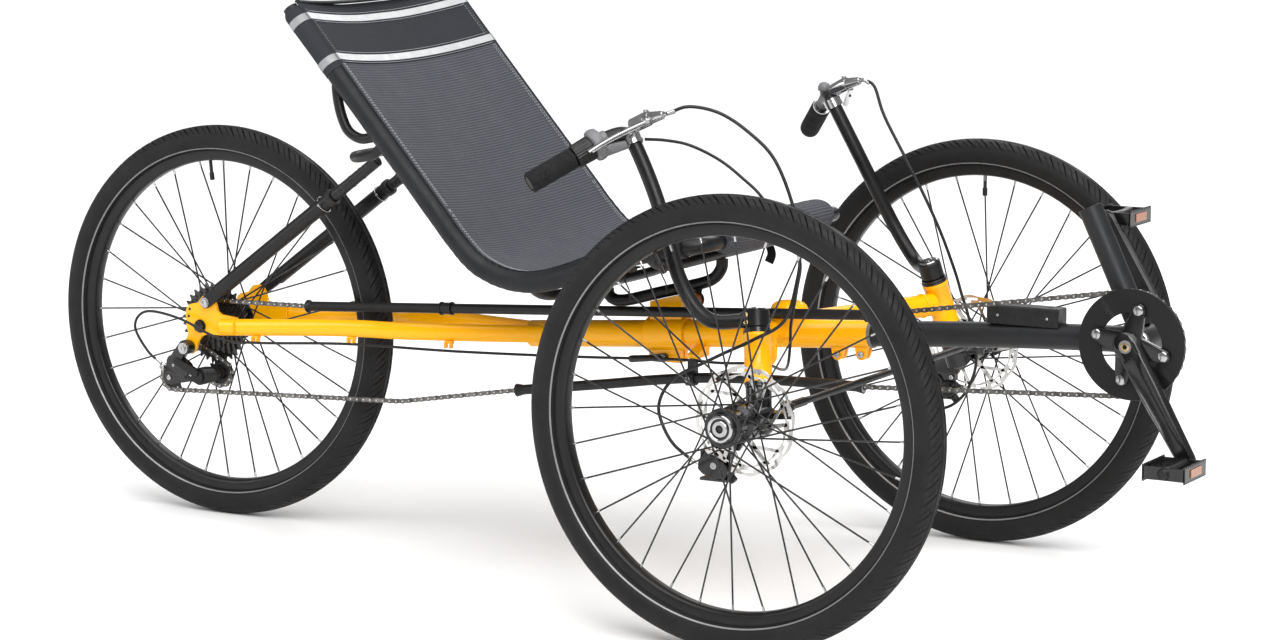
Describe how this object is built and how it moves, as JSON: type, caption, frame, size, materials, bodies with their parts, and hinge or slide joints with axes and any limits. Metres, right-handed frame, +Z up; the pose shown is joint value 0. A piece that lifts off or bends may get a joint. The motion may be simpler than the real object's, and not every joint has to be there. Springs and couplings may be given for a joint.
{
  "type": "adult recumbent tricycle",
  "caption": "Recumbent tricycle: low mesh seat, two steered front wheels with disc brakes, driven rear wheel, boom with pedals ahead of the front wheels.",
  "frame": {"origin": "on the ground under the rear axle, in the middle of the rear tyre's contact face", "axes": "+X forward towards the pedals, +Y to the rider's left, +Z up"},
  "size_m": [2.1027, 0.944, 0.8834],
  "materials": {
    "yellow_paint": "gloss",
    "black_paint": "satin",
    "tyre_rubber": "matte",
    "grip_rubber": "matte",
    "black_plastic": "satin",
    "steel": "satin",
    "aluminium": "satin",
    "chain_steel": "satin",
    "mesh_fabric": "matte",
    "vinyl": "matte"
  },
  "bodies": {
    "frame": {"main_frame": "yellow_paint", "boom": "black_paint", "accessory_mount": "black_plastic", "bottom_bracket": "steel", "chain": "chain_steel", "upper_chain_tube": "black_plastic", "lower_chain_tube": "black_plastic", "derailleur_body": "black_plastic", "derailleur_cage": "black_plastic", "rear_axle": "steel", "shift_cable_rear": "grip_rubber"},
    "crankset": {"crank_axle": "steel", "right_crank": "black_paint", "left_crank": "black_paint", "chainring": "black_paint"},
    "right_pedal": {"right_pedal": "black_plastic"},
    "left_pedal": {"left_pedal": "black_plastic"},
    "rear_wheel": {"rear_tyre": "tyre_rubber", "rear_rim": "black_paint", "rear_hub_and_spokes": "black_paint"},
    "cassette": {"cassette": "steel"},
    "guide_jockey": {"guide_jockey": "black_plastic"},
    "tension_jockey": {"tension_jockey": "black_plastic"},
    "tie_rod": {"tie_rod": "black_paint"},
    "twist_shifter": {"twist_shifter": "black_plastic"},
    "seat": {"seat_frame": "black_paint", "seat_sling": "mesh_fabric", "seat_nose_pad": "vinyl", "seat_support_tube": "black_paint", "seat_clamp": "yellow_paint"},
    "seat_quick_release": {"seat_quick_release": "steel"},
    "right_steering": {"right_kingpin": "steel", "right_knuckle": "black_paint", "right_brake_caliper": "black_paint", "right_handlebar": "black_paint", "right_grip": "grip_rubber", "right_lever_body": "aluminium", "right_brake_cable": "grip_rubber", "shift_cable_front": "grip_rubber"},
    "right_front_wheel": {"right_front_tyre": "tyre_rubber", "right_front_rim": "black_paint", "right_front_hub_and_spokes": "black_paint", "right_brake_rotor": "steel"},
    "right_brake_lever": {"right_brake_lever": "aluminium"},
    "right_strut_lower": {"right_strut_outer": "black_paint"},
    "right_strut_upper": {"right_strut_inner": "black_paint"},
    "left_steering": {"left_kingpin": "steel", "left_knuckle": "black_paint", "left_brake_caliper": "black_paint", "left_handlebar": "black_paint", "left_grip": "grip_rubber", "left_lever_body": "aluminium", "left_brake_cable": "grip_rubber"},
    "left_front_wheel": {"left_front_tyre": "tyre_rubber", "left_front_rim": "black_paint", "left_front_hub_and_spokes": "black_paint", "left_brake_rotor": "steel"},
    "left_brake_lever": {"left_brake_lever": "aluminium"},
    "left_strut_lower": {"left_strut_outer": "black_paint"},
    "left_strut_upper": {"left_strut_inner": "black_paint"}
  },
  "joints": [
    {"name": "right_steering", "type": "hinge", "parent": "frame", "child": "right_steering", "pos_m": [1.1864, -0.3347, 0.329], "axis": [-0.179, 0.2827, 0.9423], "range_deg": [-28, 28]},
    {"name": "left_steering", "type": "hinge", "parent": "frame", "child": "left_steering", "pos_m": [1.1864, 0.3347, 0.329], "axis": [-0.179, -0.2827, 0.9423], "range_deg": [-28, 28]},
    {"name": "tie_rod_swing", "type": "hinge", "parent": "right_steering", "child": "tie_rod", "pos_m": [1.23, -0.33, 0.343], "axis": [0.2166, -0.2829, -0.9344], "range_deg": [-29, 29]},
    {"name": "rear_wheel_spin", "type": "hinge", "parent": "frame", "child": "rear_wheel", "pos_m": [0, 0, 0.329], "axis": [0, 1, 0], "continuous": true},
    {"name": "right_front_wheel_spin", "type": "hinge", "parent": "right_steering", "child": "right_front_wheel", "pos_m": [1.194, -0.428, 0.329], "axis": [0, 1, 0], "continuous": true},
    {"name": "left_front_wheel_spin", "type": "hinge", "parent": "left_steering", "child": "left_front_wheel", "pos_m": [1.194, 0.428, 0.329], "axis": [0, 1, 0], "continuous": true},
    {"name": "crank_spin", "type": "hinge", "parent": "frame", "child": "crankset", "pos_m": [1.643, 0, 0.427], "axis": [0, 1, 0], "continuous": true},
    {"name": "right_pedal_spin", "type": "hinge", "parent": "crankset", "child": "right_pedal", "pos_m": [1.74067, -0.1275, 0.26636], "axis": [0, 1, 0], "continuous": true},
    {"name": "left_pedal_spin", "type": "hinge", "parent": "crankset", "child": "left_pedal", "pos_m": [1.54533, 0.1365, 0.58764], "axis": [0, 1, 0], "continuous": true},
    {"name": "cassette_spin", "type": "hinge", "parent": "frame", "child": "cassette", "pos_m": [0, -0.045, 0.329], "axis": [0, 1, 0], "continuous": true},
    {"name": "guide_jockey_spin", "type": "hinge", "parent": "frame", "child": "guide_jockey", "pos_m": [0.0195, -0.047, 0.248], "axis": [0, 1, 0], "continuous": true},
    {"name": "tension_jockey_spin", "type": "hinge", "parent": "frame", "child": "tension_jockey", "pos_m": [-0.079, -0.047, 0.233], "axis": [0, 1, 0], "continuous": true},
    {"name": "right_brake_squeeze", "type": "hinge", "parent": "right_steering", "child": "right_brake_lever", "pos_m": [0.992, -0.322, 0.744], "axis": [0.3902, 0.2301, -0.8915], "range_deg": [0, 9], "stiffness_Nm_per_rad": 2, "springref_deg": -5.73},
    {"name": "left_brake_squeeze", "type": "hinge", "parent": "left_steering", "child": "left_brake_lever", "pos_m": [0.992, 0.322, 0.744], "axis": [-0.3902, 0.2301, 0.8915], "range_deg": [0, 9], "stiffness_Nm_per_rad": 2, "springref_deg": -5.73},
    {"name": "shifter_twist", "type": "hinge", "parent": "right_steering", "child": "twist_shifter", "pos_m": [0.936, -0.3626, 0.7096], "axis": [-0.5694, -0.6864, -0.4524], "range_deg": [-60, 60]},
    {"name": "seat_slide", "type": "slide", "parent": "frame", "child": "seat", "axis": [0.997, 0, 0.0774], "range_m": [-0.05, 0.015]},
    {"name": "quick_release_lever", "type": "hinge", "parent": "seat", "child": "seat_quick_release", "pos_m": [0.85, -0.0125, 0.3375], "axis": [0, 1, 0], "range_deg": [-160, 0]},
    {"name": "right_strut_swing", "type": "hinge", "parent": "frame", "child": "right_strut_lower", "pos_m": [0.0158, -0.0825, 0.3705], "axis": [0, 1, 0], "range_deg": [-4, 3]},
    {"name": "right_strut_extend", "type": "slide", "parent": "right_strut_lower", "child": "right_strut_upper", "axis": [0.8051, 0, 0.5931], "range_m": [-0.046, 0.02]},
    {"name": "left_strut_swing", "type": "hinge", "parent": "frame", "child": "left_strut_lower", "pos_m": [0.0158, 0.0825, 0.3705], "axis": [0, 1, 0], "range_deg": [-4, 3]},
    {"name": "left_strut_extend", "type": "slide", "parent": "left_strut_lower", "child": "left_strut_upper", "axis": [0.8051, 0, 0.5931], "range_m": [-0.046, 0.02]}
  ],
  "couplings": [
    {"joint": "left_steering", "follows": "right_steering", "ratio": 1},
    {"joint": "tie_rod_swing", "follows": "right_steering", "ratio": 1.0098},
    {"joint": "cassette_spin", "follows": "crank_spin", "ratio": 1.9},
    {"joint": "guide_jockey_spin", "follows": "crank_spin", "ratio": -3.4545},
    {"joint": "tension_jockey_spin", "follows": "crank_spin", "ratio": 3.4545},
    {"joint": "right_strut_swing", "follows": "seat_slide", "rad_per_m": 1.19},
    {"joint": "left_strut_swing", "follows": "seat_slide", "rad_per_m": 1.19},
    {"joint": "right_strut_extend", "follows": "seat_slide", "ratio": 0.852},
    {"joint": "left_strut_extend", "follows": "seat_slide", "ratio": 0.852}
  ]
}
